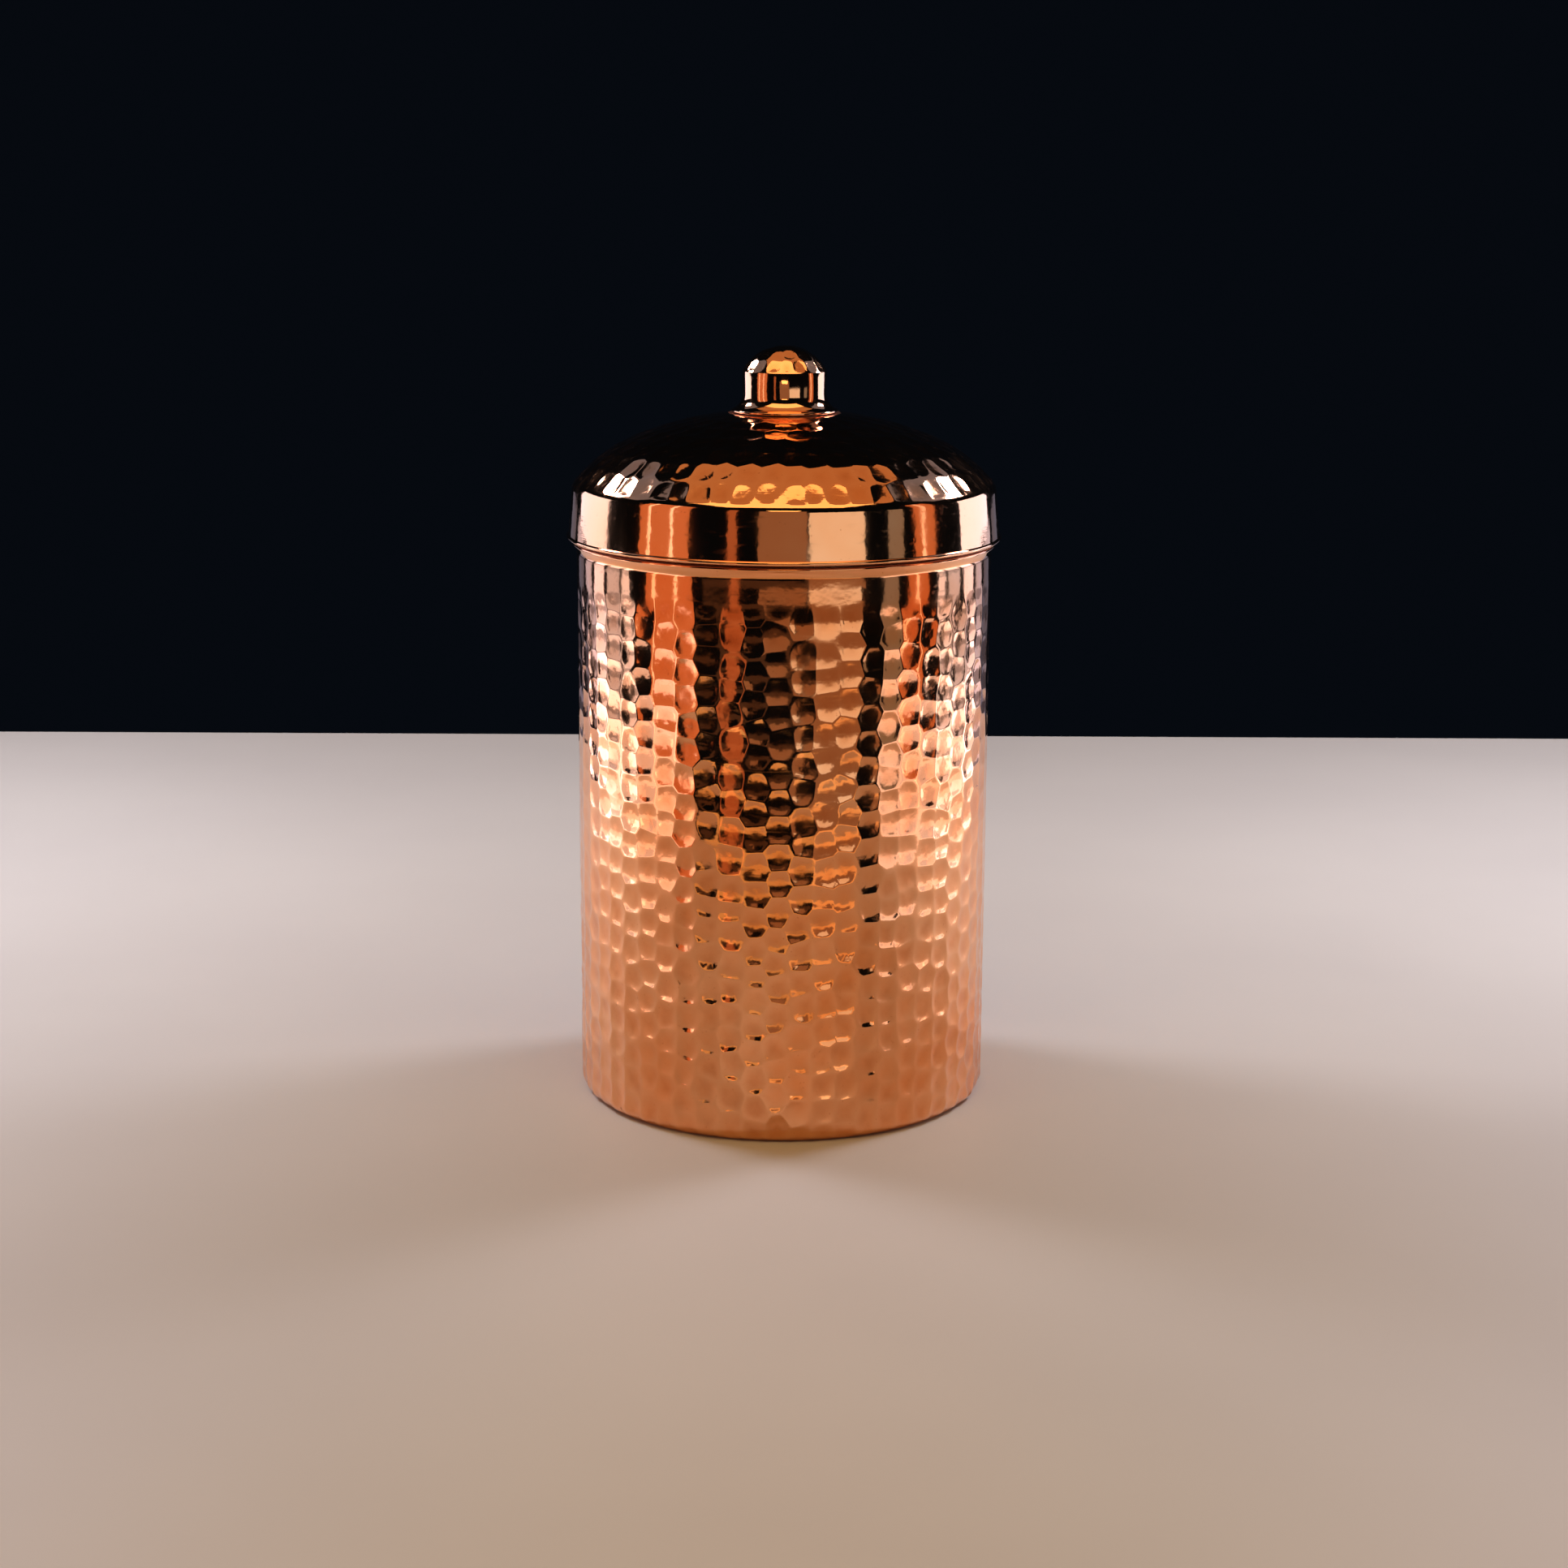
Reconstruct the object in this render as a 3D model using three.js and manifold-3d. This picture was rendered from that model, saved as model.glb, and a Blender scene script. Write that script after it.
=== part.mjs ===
// A hammered copper water vessel with a lift-off lid, in millimetres, +Z up.
// The origin is at the centre of the ring that the vessel stands on.
//
// Nearly every piece is turned round the vertical axis. The copper pieces are spun from sheet, so each
// is drawn as the middle line of its sheet and then given the sheet's thickness.

import * as THREE from 'three';
import { mergeVertices } from 'three/addons/utils/BufferGeometryUtils.js';
import Module from 'manifold-3d';

// ---- driving dimensions -----------------------------------------------------------------------

const gap = 0.3; // kept between pieces that touch
const sheet = 1.0; // copper of the vessel, the lid and the knob
const collarSheet = 0.8; // copper of the collar inside the lid

const vesselRadius = 50; // outside of the straight wall
const vesselHeight = 136.6; // top of the flared lip
const baseEdgeRadius = 3; // outside of the rounded bottom edge
const baseRecess = 1.5; // how far the middle of the base is pushed up
const standingRingInner = 40.5; // the vessel stands on the flat ring outside this radius
const mouthCoveRadius = 3; // outside of the flare under the lip
const mouthFlareAngle = 55; // degrees that the sheet turns outward at the lip

const lidLipRadius = 52.4;
const lidBandFoot = 51.9; // outside of the plain band, at its foot
const lidBandTop = 51.0; // outside of the plain band, under the crease
const lidLipTurn = 0.8; // middle-line radius where the band turns out into the lip
const creaseHeight = 12.5; // where the middle lines of the band and the dome meet
const creaseRadius = 3; // outside rounding of the crease
const crownRadius = 82; // large curve of the dome's top
const shoulderRadius = 35; // tighter curve of the dome's shoulder
const shoulderStart = 36; // radius at which the shoulder takes over from the crown
const shoulderHeight = 24;
const knobSeatRadius = 13; // flat patch at the top of the dome
const knobSeatHeight = 29.8;

const collarRadius = 48.2; // outside of the collar, which drops into the mouth
const collarDepth = 12;
const collarFlangeRadius = 50.6;
const collarBend = 1; // middle-line radius between the collar and its flange
const sealGrooveDepth = 1;
const sealGrooveCentre = -6;
const sealGrooveHalf = 2.5;
const sealHalf = 2;
const sealValley = 0.5; // depth of the valley between the seal's two ribs

const knobRadius = 10;
const knobFootRadius = 12.8;
const knobFootEdge = 0.5; // thickness of the foot at its rim
const knobCoveRadius = 4;
const knobShoulderHeight = 9.7; // where the upright side meets the domed top
const knobHeight = 15.7;

const screwRadius = 2;
const screwHeadRadius = 3.8;
const screwHeadHeight = 2.4;
const screwReach = 6.4; // how far the screw goes into the knob
const screwSlotWidth = 1.1;
const screwSlotDepth = 1.2;
const coreHeight = 8.5;
const washerRadius = 5.5;
const washerThickness = 0.8;
const sealWasherRadius = 6.2;
const sealWasherThickness = 1;

const wideTurns = 48; // facets round the vessel and the lid
const knobTurns = 32;
const screwTurns = 20;

// ---- materials --------------------------------------------------------------------------------

function metal(color, roughness) {
  return new THREE.MeshStandardMaterial({ color, roughness, metalness: 1 });
}

function softRubber(color) {
  return new THREE.MeshStandardMaterial({ color, roughness: 0.7, metalness: 0 });
}

const hammeredCopper = metal(0xc8693a, 0.18);
const polishedCopper = metal(0xd98a5c, 0.12);
const dullCopper = metal(0xb8643e, 0.4);
const brass = metal(0xc9a24b, 0.3);
const steel = metal(0xb9bcc0, 0.3);
const silicone = softRubber(0xe9e4da);

// ---- outlines: points are (radius, height) ----------------------------------------------------

function point(radius, height) {
  return new THREE.Vector2(radius, height);
}

// Points on a circle, both ends included. Angles are in degrees, anticlockwise from outward.
function arc(centre, radius, fromAngle, toAngle, steps) {
  const points = [];
  for (let step = 0; step <= steps; step += 1) {
    const angle = THREE.MathUtils.degToRad(THREE.MathUtils.lerp(fromAngle, toAngle, step / steps));
    points.push(point(centre.x + radius * Math.cos(angle), centre.y + radius * Math.sin(angle)));
  }
  return points;
}

// Points on the arc of the given radius that bulges up and outward from start to end, both included.
function bulge(start, end, radius, steps) {
  const chord = end.clone().sub(start);
  const sagittaLine = Math.sqrt(radius ** 2 - chord.lengthSq() / 4);
  const toCentre = point(chord.y, -chord.x).setLength(sagittaLine);
  const centre = start.clone().add(end).multiplyScalar(0.5).add(toCentre);
  const angleOf = (place) => THREE.MathUtils.radToDeg(Math.atan2(place.y - centre.y, place.x - centre.x));
  return arc(centre, radius, angleOf(start), angleOf(end), steps);
}

// The corner of a line replaced by an arc of the given radius that touches both its sides.
function roundedCorner(before, corner, after, radius, steps) {
  const back = before.clone().sub(corner).normalize();
  const ahead = after.clone().sub(corner).normalize();
  const halfAngle = Math.acos(back.dot(ahead)) / 2;
  const start = corner.clone().addScaledVector(back, radius / Math.tan(halfAngle));
  const end = corner.clone().addScaledVector(ahead, radius / Math.tan(halfAngle));
  return bulge(start, end, radius, steps);
}

// A line moved square to itself, to the left of the way it runs, with its corners mitred.
function offset(line, distance) {
  const directions = line.slice(1).map((place, index) => place.clone().sub(line[index]).normalize());
  return line.map((place, index) => {
    const arriving = directions[Math.max(index - 1, 0)];
    const leaving = directions[Math.min(index, directions.length - 1)];
    const along = arriving.clone().add(leaving).normalize();
    const mitre = distance / along.dot(arriving);
    return point(place.x - along.y * mitre, place.y + along.x * mitre);
  });
}

// The outline of a sheet with the given middle line: out along its right side, back along its left.
function sheetOutline(middleLine, thickness) {
  const rightSide = offset(middleLine, -thickness / 2);
  const leftSide = offset(middleLine, thickness / 2);
  return [...rightSide, ...leftSide.reverse()];
}

function closed(outline) {
  return [...outline, outline[0].clone()];
}

// A turned piece. The outline runs anticlockwise, and either closes on itself or ends on the axis.
function turned(name, outline, turns, material) {
  const mesh = new THREE.Mesh(new THREE.LatheGeometry(outline, turns), material);
  mesh.name = name;
  return mesh;
}

// ---- vessel -----------------------------------------------------------------------------------

function vesselShell() {
  const half = sheet / 2;
  const wall = vesselRadius - half;
  const edge = baseEdgeRadius - half;
  const edgeCentre = point(wall - edge, half + edge);
  const flareRise = Math.sin(THREE.MathUtils.degToRad(mouthFlareAngle)) * (mouthCoveRadius + sheet);
  const coveCentre = point(vesselRadius + mouthCoveRadius, vesselHeight - flareRise);
  const middleLine = [
    point(0, baseRecess + half),
    point(standingRingInner - 2 * baseRecess, baseRecess + half),
    point(standingRingInner, half),
    ...arc(edgeCentre, edge, -90, 0, 4),
    ...arc(coveCentre, mouthCoveRadius + half, 180, 180 - mouthFlareAngle, 4),
  ];
  return turned('vessel_shell', sheetOutline(middleLine, sheet), wideTurns, hammeredCopper);
}

// ---- lid: heights from the underside of its lip ---------------------------------------------------

function lidShell() {
  const half = sheet / 2;
  const seatHeight = knobSeatHeight - half;
  const hole = point(screwRadius + gap, seatHeight);
  const seatEdge = point(knobSeatRadius, seatHeight);
  const shoulder = point(shoulderStart, shoulderHeight - half);
  const crease = point(lidBandTop - half, creaseHeight);
  const bandFoot = point(lidBandFoot - half, half + lidLipTurn);
  const dome = bulge(shoulder, crease, shoulderRadius, 8);
  const rounding = roundedCorner(dome.at(-2), crease, bandFoot, creaseRadius - half, 3);
  const lipCentre = point(bandFoot.x + lidLipTurn, bandFoot.y);
  const middleLine = [
    hole,
    ...bulge(seatEdge, shoulder, crownRadius, 4),
    ...dome.slice(1, -1),
    ...rounding,
    ...arc(lipCentre, lidLipTurn, 180, 270, 3),
    point(lidLipRadius, half),
  ].reverse();
  return turned('lid_shell', closed(sheetOutline(middleLine, sheet)), wideTurns, hammeredCopper);
}

function lidCollar() {
  const half = collarSheet / 2;
  const wall = collarRadius - half;
  const grooveTop = sealGrooveCentre + sealGrooveHalf;
  const grooveBottom = sealGrooveCentre - sealGrooveHalf;
  const bendCentre = point(wall + collarBend, half - collarBend);
  const middleLine = [
    point(wall, -collarDepth),
    point(wall, grooveBottom - sealGrooveDepth),
    point(wall - sealGrooveDepth, grooveBottom),
    point(wall - sealGrooveDepth, grooveTop),
    point(wall, grooveTop + sealGrooveDepth),
    ...arc(bendCentre, collarBend, 180, 90, 3),
    point(collarFlangeRadius, half),
  ];
  return turned('lid_collar', closed(sheetOutline(middleLine, collarSheet)), wideTurns, dullCopper);
}

function lidSealRing() {
  const inner = collarRadius - sealGrooveDepth + gap;
  const outer = vesselRadius - sheet - gap;
  const rib = sealHalf / 2;
  const outline = [
    point(inner, -sealHalf),
    point(outer - sealValley, -sealHalf),
    point(outer, -rib),
    point(outer - sealValley, 0),
    point(outer, rib),
    point(outer - sealValley, sealHalf),
    point(inner, sealHalf),
  ];
  const ring = turned('lid_seal_ring', closed(outline), wideTurns, silicone);
  ring.position.y = sealGrooveCentre;
  return ring;
}

// ---- knob: heights from the underside of its foot ----------------------------------------------

function knobShell() {
  const innerRadius = knobRadius - sheet;
  const footTilt = Math.acos((knobRadius + knobCoveRadius - knobFootRadius) / knobCoveRadius);
  const coveRise = knobCoveRadius * Math.sin(footTilt);
  const coveCentre = point(knobRadius + knobCoveRadius, knobFootEdge + coveRise);
  const innerCove = knobCoveRadius + sheet;
  const coveSweep = THREE.MathUtils.radToDeg(footTilt);
  const innerCoveSweep = THREE.MathUtils.radToDeg(Math.asin(coveCentre.y / innerCove));
  const topRise = knobHeight - knobShoulderHeight;
  const topRadius = (knobRadius ** 2 + topRise ** 2) / (2 * topRise);
  const outline = [
    point(knobFootRadius, 0),
    ...arc(coveCentre, knobCoveRadius, 180 + coveSweep, 180, 4),
    ...bulge(point(0, knobHeight), point(knobRadius, knobShoulderHeight), topRadius, 6).reverse(),
    ...bulge(point(0, knobHeight - sheet), point(innerRadius, knobShoulderHeight), topRadius - sheet, 4),
    ...arc(coveCentre, innerCove, 180, 180 + innerCoveSweep, 3),
  ];
  return turned('knob_shell', closed(outline), knobTurns, polishedCopper);
}

function knobCore() {
  const hole = screwRadius + gap;
  const outline = [
    point(0, screwReach + 2 * gap),
    point(hole, screwReach + 2 * gap),
    point(hole, 0),
    point(knobRadius - sheet - gap, 0),
    point(knobRadius - sheet - gap, coreHeight),
    point(0, coreHeight),
  ];
  return turned('knob_core', outline, knobTurns, brass);
}

function washer(name, radius, thickness, topHeight, material) {
  const hole = screwRadius + gap;
  const outline = [
    point(hole, topHeight - thickness),
    point(radius, topHeight - thickness),
    point(radius, topHeight),
    point(hole, topHeight),
  ];
  return turned(name, closed(outline), screwTurns, material);
}

// A closed mesh's geometry as a manifold solid, and back.
function toSolid(kernel, geometry) {
  const bare = geometry.clone();
  bare.deleteAttribute('normal');
  bare.deleteAttribute('uv');
  const merged = mergeVertices(bare);
  return new kernel.Manifold(new kernel.Mesh({
    numProp: 3,
    vertProperties: new Float32Array(merged.attributes.position.array),
    triVerts: new Uint32Array(merged.index.array),
  }));
}

function toGeometry(solid) {
  const { vertProperties, triVerts } = solid.getMesh();
  const geometry = new THREE.BufferGeometry();
  geometry.setAttribute('position', new THREE.BufferAttribute(vertProperties, 3));
  geometry.setIndex(new THREE.BufferAttribute(triVerts, 1));
  geometry.computeVertexNormals();
  return geometry;
}

// A pan-head screw that comes up through the lid, with a slot across its head.
function knobScrew(kernel, headTop) {
  const headFoot = headTop - screwHeadHeight;
  const outline = [
    point(0, headFoot),
    ...arc(point(screwHeadRadius - 1, headFoot + 1), 1, -90, 0, 3),
    point(screwHeadRadius, headTop),
    point(screwRadius, headTop),
    point(screwRadius, screwReach),
    point(0, screwReach),
  ];
  const slot = new THREE.BoxGeometry(3 * screwHeadRadius, 2 * screwSlotDepth, screwSlotWidth);
  slot.translate(0, headFoot, 0);
  const uncut = toSolid(kernel, new THREE.LatheGeometry(outline, screwTurns));
  const mesh = new THREE.Mesh(toGeometry(uncut.subtract(toSolid(kernel, slot))), steel);
  mesh.name = 'knob_screw';
  return mesh;
}

// ---- assembly: the turning axis is Y inside the groups and is stood up along Z at the end --------

const kernel = await Module();
kernel.setup();

const sealWasherTop = -gap - sheet - gap;
const washerTop = sealWasherTop - sealWasherThickness - gap;
const screwHeadTop = washerTop - washerThickness - gap;

const knob = new THREE.Group();
knob.position.y = knobSeatHeight + gap;
knob.add(knobShell());
knob.add(knobCore());
knob.add(washer('knob_seal_washer', sealWasherRadius, sealWasherThickness, sealWasherTop, silicone));
knob.add(washer('knob_washer', washerRadius, washerThickness, washerTop, brass));
knob.add(knobScrew(kernel, screwHeadTop));

const lid = new THREE.Group();
lid.position.y = vesselHeight + gap;
lid.add(lidShell());
lid.add(lidCollar());
lid.add(lidSealRing());
lid.add(knob);

const waterVessel = new THREE.Group();
waterVessel.rotation.x = Math.PI / 2;
waterVessel.add(vesselShell());
waterVessel.add(lid);

export default waterVessel;
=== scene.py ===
"""A hammered copper water vessel with a lift-off lid: the looks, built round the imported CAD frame.

Lengths are in metres. A profile is a list of (radius, height) points that is turned round the
vertical axis. The copper that was worked with a hammer is built mark by mark: each blow leaves a
shallow hollow, and the ridges between the hollows are the borders of the cells of a power diagram.
"""

import math
import random
from collections import namedtuple

import bmesh
import bpy
import numpy as np
from mathutils import Euler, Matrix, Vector


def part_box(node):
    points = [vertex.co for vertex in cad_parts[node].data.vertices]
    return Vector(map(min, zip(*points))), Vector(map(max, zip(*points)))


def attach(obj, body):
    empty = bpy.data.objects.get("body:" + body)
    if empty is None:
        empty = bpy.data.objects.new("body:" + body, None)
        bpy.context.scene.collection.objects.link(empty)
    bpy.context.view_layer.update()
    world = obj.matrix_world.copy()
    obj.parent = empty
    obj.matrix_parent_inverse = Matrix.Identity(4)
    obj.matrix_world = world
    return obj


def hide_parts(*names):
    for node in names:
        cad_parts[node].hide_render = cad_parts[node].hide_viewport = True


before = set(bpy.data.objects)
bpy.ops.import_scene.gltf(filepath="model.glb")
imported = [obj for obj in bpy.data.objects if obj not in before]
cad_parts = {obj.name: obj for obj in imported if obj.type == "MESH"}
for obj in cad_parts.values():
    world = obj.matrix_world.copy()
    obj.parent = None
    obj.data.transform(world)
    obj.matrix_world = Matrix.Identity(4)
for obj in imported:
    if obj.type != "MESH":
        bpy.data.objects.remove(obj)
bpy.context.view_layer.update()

MM = 0.001

# ---- driving dimensions ----------------------------------------------

vessel_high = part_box("vessel_shell")[1]
lid_low, lid_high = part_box("lid_shell")
collar_low, collar_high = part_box("lid_collar")
seal_low, seal_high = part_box("lid_seal_ring")
knob_low, knob_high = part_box("knob_shell")
core_low, core_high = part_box("knob_core")
seal_washer_low, seal_washer_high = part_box("knob_seal_washer")
washer_low, washer_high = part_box("knob_washer")
screw_low, screw_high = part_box("knob_screw")

GAP = 0.3 * MM  # between pieces that touch
SHEET = 1.0 * MM  # copper of the vessel, the lid and the knob
COLLAR_SHEET = 0.8 * MM

WALL_RADIUS = 50 * MM  # outside of the straight wall
MOUTH_HEIGHT = vessel_high.z
BASE_EDGE_RADIUS = 3 * MM  # outside of the rounded bottom edge
BASE_RECESS = 1.5 * MM  # how far the middle of the base is pushed up
STANDING_RING_INNER = 40.5 * MM  # the vessel stands on the flat ring outside this radius
MOUTH_COVE_RADIUS = 3 * MM  # outside of the flare under the lip
MOUTH_FLARE_ANGLE = 55  # degrees that the sheet turns outward at the lip
HAMMERED_TOP = 128 * MM  # the wall is plain above this height

LID_LIP_RADIUS = lid_high.x
LID_BAND_FOOT = 51.9 * MM  # outside of the plain band, at its foot
LID_BAND_TOP = 51.0 * MM  # outside of the plain band, under the crease
LID_LIP_TURN = 0.8 * MM  # middle-line radius where the band turns out into the lip
CREASE_HEIGHT = 12.5 * MM  # where the middle lines of the band and the dome meet
CREASE_RADIUS = 3 * MM
CROWN_RADIUS = 82 * MM  # large curve of the dome's top
SHOULDER_RADIUS = 35 * MM  # tighter curve of the dome's shoulder
SHOULDER_START = 36 * MM  # radius at which the shoulder takes over from the crown
SHOULDER_HEIGHT = 24 * MM
KNOB_SEAT_RADIUS = 13 * MM  # flat patch at the top of the dome
KNOB_SEAT_HEIGHT = lid_high.z - lid_low.z

COLLAR_RADIUS = 48.2 * MM
COLLAR_BEND = 1 * MM
SEAL_GROOVE_DEPTH = 1 * MM
SEAL_GROOVE_HALF = 2.5 * MM
SEAL_VALLEY = 0.5 * MM  # depth of the valley between the seal's two ribs

KNOB_RADIUS = 10 * MM
KNOB_FOOT_RADIUS = knob_high.x
KNOB_FOOT_EDGE = 0.5 * MM
KNOB_COVE_RADIUS = 4 * MM
KNOB_SHOULDER_HEIGHT = 9.7 * MM
KNOB_SHOULDER_RADIUS = 2.5 * MM
KNOB_HEIGHT = knob_high.z - knob_low.z

SCREW_RADIUS = 2 * MM
SCREW_HEAD_RADIUS = screw_high.x
SCREW_HEAD_HEIGHT = 2.4 * MM
SCREW_REACH = 6.4 * MM  # how far the screw goes into the core
SCREW_PITCH = 0.7 * MM
SCREW_THREAD_DEPTH = 0.35 * MM
SCREW_SLOT_WIDTH = 1.1 * MM
SCREW_SLOT_DEPTH = 1.2 * MM

VESSEL_TURNS = 192  # vertices round a turned piece
LID_TURNS = 256
KNOB_TURNS = 128
SCREW_TURNS = 32

# ---- how the hammer was used -----------------------------------------

# Each blow leaves a hollow, with a curvature along x and y on the flattened sheet. The hollows meet
# in ridges, a ridge height above their middles, and a mark depth is how far the middles lie below
# the untouched sheet. A step is how far apart the vertices along a ridge are.
Hammering = namedtuple("Hammering", "curvature ridge_height mark_depth step")

WALL_HAMMERING = Hammering(1 / np.array([25 * MM, 34 * MM]), 0.15 * MM, 0.19 * MM, 1.3 * MM)
WALL_MARKS_ROUND = 57
WALL_ROW_SPACING = 6.3 * MM
WALL_WANDER = 0.28 * MM  # how far a column strays sideways from one blow to the next
WALL_DRIFT_KEPT = 0.8  # share of a column's drift that the next blow keeps
WALL_UNEVENNESS = 0.5 * MM  # how unevenly the blows of a column are spaced
WALL_MARKS_FROM = 1 * MM  # distance along the profile from the base's flat ring
WALL_FOOT_FADE = 2 * MM  # the marks die away over this distance from there
WALL_TOP_FADE = 5 * MM  # and over this distance from the plain band
FOOT_DEEPER = 0.9  # how much deeper the blows went at the foot, as a share
FOOT_DEEPER_BELOW = 75 * MM  # they get deeper from this height down
FOOT_DEEPER_RUN = 55 * MM  # and are deepest this far below it

DOME_HAMMERING = Hammering(1 / np.array([24 * MM, 24 * MM]), 0.15 * MM, 0.20 * MM, 1.0 * MM)
DOME_RING_SPACING = 5.6 * MM
DOME_MARK_WIDTH = 5.6 * MM
DOME_SEAT_RIM = 0.4 * MM  # plain sheet round the knob's seat
DOME_SEAT_FADE = 7 * MM  # the marks die away over this distance from there

KNOB_HAMMERING = Hammering(1 / np.array([10 * MM, 10 * MM]), 0.16 * MM, 0.20 * MM, 0.6 * MM)
KNOB_RING_SPACING = 3.4 * MM
KNOB_MARK_WIDTH = 3.6 * MM

EDGE_FADE = 1.2 * MM  # the marks die away over this distance from a crease
TILT_SPREAD = 0.015  # how far the hollows lean at random, in radians
DEPTH_SPREAD = 0.018 * MM  # how unevenly deep they are
RIDGE_SOFTNESS = 0.022 * MM  # how much the ridges between the hollows are rounded over
STEEPNESS = 1.8  # 1 gives round dishes, and more gives flatter middles and steeper sides
SHADE_AND_TARNISH_SPREAD = 0.25  # how much more painted shade and tarnish a deeper hollow holds
FACET_RINGS = (1.0, 0.9, 0.72, 0.42)  # rings of vertices in a facet, as shares of its border
FACET_REACH = 9  # steps from a blow, which no border lies beyond
NEIGHBOURS = 20  # blows that can border on a facet
WELD = 0.002 * MM  # facets that share a border are joined where their vertices are this close


# ---- profiles: arrays of (radius, height) ----------------------------


def arc(centre, radius, start, end, steps):
    """Points on a circle, both ends included. Degrees, anticlockwise from outward."""
    angles = np.radians(np.linspace(start, end, steps + 1))
    return np.array(centre) + radius * np.column_stack([np.cos(angles), np.sin(angles)])


def bulge(start, end, radius, steps):
    """The arc of that radius which bulges up and outward from start to end."""
    start, end = np.array(start), np.array(end)
    chord = end - start
    across = np.array([chord[1], -chord[0]]) / np.linalg.norm(chord)
    centre = (start + end) / 2 + across * math.sqrt(radius**2 - chord @ chord / 4)
    first, last = (math.degrees(math.atan2(*(place - centre)[::-1])) for place in (start, end))
    return arc(centre, radius, first, last, steps)


def rounded_corner(before, corner, after, radius, steps):
    """The corner of a line replaced by an arc that touches both its sides."""
    back = (before - corner) / np.linalg.norm(before - corner)
    ahead = (after - corner) / np.linalg.norm(after - corner)
    reach = radius / math.tan(math.acos(back @ ahead) / 2)
    return bulge(corner + back * reach, corner + ahead * reach, radius, steps)


def softened(corners, reach, steps=4, closed=False):
    """A line whose corners are rounded off, starting at most reach before each of them."""
    corners = np.array(corners)
    count = len(corners)
    points = []
    for index, corner in enumerate(corners):
        if not closed and index in (0, count - 1):
            points.append(corner)
            continue
        before, after = corners[index - 1] - corner, corners[(index + 1) % count] - corner
        back, ahead = np.linalg.norm(before), np.linalg.norm(after)
        cut = min(reach, 0.45 * back, 0.45 * ahead)
        for share in np.linspace(0, 1, steps + 1):
            pull = before / back * (1 - share) ** 2 + after / ahead * share**2
            points.append(corner + pull * cut)
    return np.array(points)


def unit_steps(line):
    steps = np.diff(line, axis=0)
    return steps / np.linalg.norm(steps, axis=1)[:, None]


def directions(line):
    """The unit direction of a line at each of its points."""
    steps = unit_steps(line)
    along = np.vstack([steps[:1], steps[:-1] + steps[1:], steps[-1:]])
    return along / np.linalg.norm(along, axis=1)[:, None]


def offset(line, distance):
    """A line moved square to itself, to the left of the way it runs, with its corners mitred."""
    along = directions(line)
    steps = unit_steps(line)
    arriving = np.vstack([steps[:1], steps])
    mitre = distance / np.sum(along * arriving, axis=1)
    return line + np.column_stack([-along[:, 1], along[:, 0]]) * mitre[:, None]


def half_round_edge(outer_side, thickness, steps=8):
    """The half-round edge in which a sheet ends, where its outer side ends at the line's last point.
    Its far side is to the left. The edge takes up the last half thickness of the sheet."""
    along = directions(outer_side)[-1]
    left = np.array([-along[1], along[0]])
    centre = outer_side[-1] - along * thickness / 2 + left * thickness / 2
    start = math.degrees(math.atan2(-left[1], -left[0]))
    return arc(centre, thickness / 2, start, start + 180, steps)


class Meridian:
    """A profile read by the distance along it. Its right-hand side faces outward."""

    def __init__(self, points):
        self.points = points
        steps = np.linalg.norm(np.diff(points, axis=0), axis=1)
        self.distances = np.concatenate([[0], np.cumsum(steps)])
        self.length = self.distances[-1]
        self.directions = directions(points)

    def read(self, values, distance):
        columns = [np.interp(distance, self.distances, values[:, axis]) for axis in (0, 1)]
        return np.column_stack(columns)

    def place(self, distance, depth):
        """Points that far along, sunk by depth below the surface."""
        along = self.read(self.directions, distance)
        outward = np.column_stack([along[:, 1], -along[:, 0]])
        return self.read(self.points, distance) - outward * np.asarray(depth)[:, None]


def turned_place(angle, spots):
    """Points in space from angles and (radius, height) spots."""
    radius = spots[:, 0]
    return np.column_stack([radius * np.cos(angle), radius * np.sin(angle), spots[:, 1]])


# ---- hammer marks ----------------------------------------------------


def clipped(polygon, normal, limit):
    """The part of a convex polygon where normal . point <= limit."""
    heights = polygon @ normal - limit
    if (heights <= 0).all():
        return polygon
    kept = []
    for index, here in enumerate(polygon):
        after = (index + 1) % len(polygon)
        if heights[index] <= 0:
            kept.append(here)
        if (heights[index] <= 0) != (heights[after] <= 0):
            share = heights[index] / (heights[index] - heights[after])
            kept.append(here + share * (polygon[after] - here))
    return np.array(kept).reshape(-1, 2)


# A blow of the hammer: a point on the flattened sheet, how much deeper than the others it went,
# which way it leans, and whether its facet is made or only borders the ones that are.
Blow = namedtuple("Blow", "x y extra lean_x lean_y made")


def random_blow(draw, x, y):
    lean_x, lean_y = draw.gauss(0, TILT_SPREAD), draw.gauss(0, TILT_SPREAD)
    return Blow(x, y, draw.gauss(0, DEPTH_SPREAD), lean_x, lean_y, True)


def facet_border(blow, others, hammering):
    """The polygon in which the facet of one blow is the deepest. It meets its neighbours in ridges."""
    curvature = hammering.curvature
    reach = FACET_REACH * hammering.step
    centre, lean = np.array(blow[:2]), np.array(blow[3:5])
    polygon = centre + np.array([[-1, -1], [1, -1], [1, 1], [-1, 1]]) * reach
    for other in others:
        away, other_lean = np.array(other[:2]), np.array(other[3:5])
        normal = curvature * (away - centre) + lean - other_lean
        limit = (curvature * (away**2 - centre**2)).sum() / 2 + lean @ centre - other_lean @ away
        polygon = clipped(polygon, normal, limit + blow.extra - other.extra)
    return polygon


def divided(polygon, step):
    """A polygon with its sides cut into pieces of about one step. Both neighbours cut a side alike."""
    points = []
    for here, there in zip(polygon, np.roll(polygon, -1, axis=0)):
        pieces = max(1, round(float(np.linalg.norm(there - here)) / step))
        for piece in range(pieces):
            points.append(here + (there - here) * piece / pieces)
    return np.array(points)


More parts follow.
